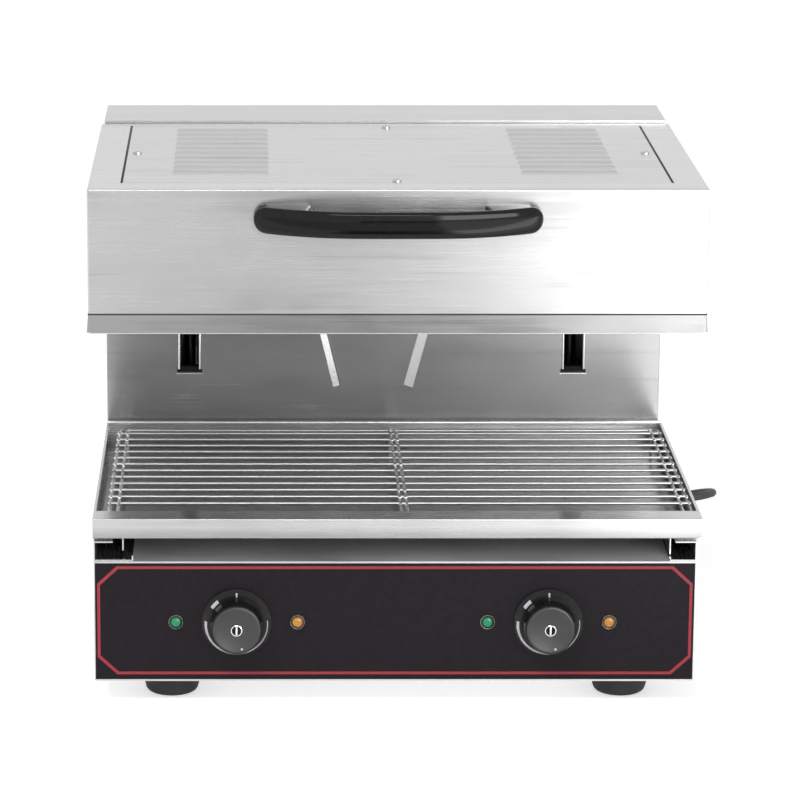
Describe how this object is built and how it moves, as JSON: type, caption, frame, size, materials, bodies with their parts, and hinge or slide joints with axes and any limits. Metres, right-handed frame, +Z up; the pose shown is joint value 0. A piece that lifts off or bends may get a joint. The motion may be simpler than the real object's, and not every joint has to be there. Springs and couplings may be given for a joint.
{
  "type": "cheese melter",
  "caption": "Countertop cheese melter: a radiant hood that slides on a rear column over a wire grid and drip tray, with two knobs on a control box.",
  "frame": {"origin": "middle of the footprint, on the surface that the feet stand on", "axes": "+X to the object's right, -Y towards the user, +Z up"},
  "size_m": [0.686, 0.66, 0.5215],
  "materials": {
    "stainless": "satin brushed",
    "zinc_steel": "dull",
    "wire": "bright nickel",
    "ground_rod": "ground",
    "screw_steel": "satin",
    "black_panel": "satin",
    "black_steel": "matt",
    "black_gloss": "gloss",
    "knob_black": "satin",
    "dark_plastic": "matt",
    "light_plastic": "matt",
    "green_lens": "clear gloss",
    "amber_lens": "clear gloss",
    "rubber_black": "matt",
    "bronze": "satin",
    "element_sheath": "oxidised",
    "mineral_wool": "matt",
    "ceramic": "matt",
    "spring_steel": "oiled",
    "brass_pins": "nickel"
  },
  "bodies": {
    "cabinet": {"base_chassis": "stainless", "base_front_plate": "stainless", "control_panel": "black_panel", "base_deck": "stainless", "base_rear_panel": "stainless", "feet": "rubber_black", "foot_screws": "screw_steel", "thermostat_left": "zinc_steel", "thermostat_right": "zinc_steel", "green_lamp_lenses": "green_lens", "amber_lamp_lenses": "amber_lens", "lamp_bodies": "dark_plastic", "terminal_block": "light_plastic", "box_wiring": "rubber_black", "cable_gland": "dark_plastic", "column_shell": "stainless", "column_rear_cover": "stainless", "rear_cover_screws": "screw_steel", "slot_stops": "rubber_black", "rod_brackets": "black_steel", "lift_lead": "rubber_black", "guide_rod_left": "ground_rod", "guide_rod_right": "ground_rod", "lift_spring_left": "spring_steel", "lift_spring_right": "spring_steel", "tray_rail_left": "stainless", "tray_rail_right": "stainless", "mains_lead": "rubber_black", "lead_coil": "rubber_black", "lead_tail": "rubber_black", "coil_tie": "dark_plastic", "mains_plug": "rubber_black"},
    "hood": {"hood_shell": "stainless", "hood_lip_frame": "stainless", "hood_top_cover": "stainless", "cover_screws": "screw_steel", "handle": "black_gloss", "handle_screws": "screw_steel", "heat_reflector": "stainless", "insulation_pad": "mineral_wool", "heating_element_left": "element_sheath", "heating_element_right": "element_sheath", "element_hangers": "stainless", "element_terminals": "ceramic", "hood_arm_left": "black_steel", "hood_arm_right": "black_steel", "arm_bolts": "screw_steel", "carriage_left": "black_steel", "carriage_right": "black_steel", "carriage_bushes": "bronze", "carriage_crossbar": "black_steel"},
    "tray": {"drip_tray": "stainless", "tray_guide_left": "stainless", "tray_guide_right": "stainless"},
    "grid": {"wire_grid": "wire"},
    "left_control": {"knob_left": "knob_black", "spindle_left": "zinc_steel"},
    "right_control": {"knob_right": "knob_black", "spindle_right": "zinc_steel"}
  },
  "joints": [
    {"name": "hood_lift", "type": "slide", "parent": "cabinet", "child": "hood", "axis": [0, 0, 1], "range_m": [-0.149, 0], "deforming": ["lift_spring_left", "lift_spring_right", "lift_lead"]},
    {"name": "tray_slide", "type": "slide", "parent": "cabinet", "child": "tray", "axis": [0, -1, 0], "range_m": [0, 0.3]},
    {"name": "grid_lift", "type": "slide", "parent": "tray", "child": "grid", "axis": [0, 0, 1], "range_m": [0, 0.03]},
    {"name": "left_knob_turn", "type": "hinge", "parent": "cabinet", "child": "left_control", "pos_m": [-0.156, -0.2175, 0.0846], "axis": [0, 1, 0], "range_deg": [0, 285]},
    {"name": "right_knob_turn", "type": "hinge", "parent": "cabinet", "child": "right_control", "pos_m": [0.152, -0.2175, 0.0846], "axis": [0, 1, 0], "range_deg": [0, 285]}
  ]
}
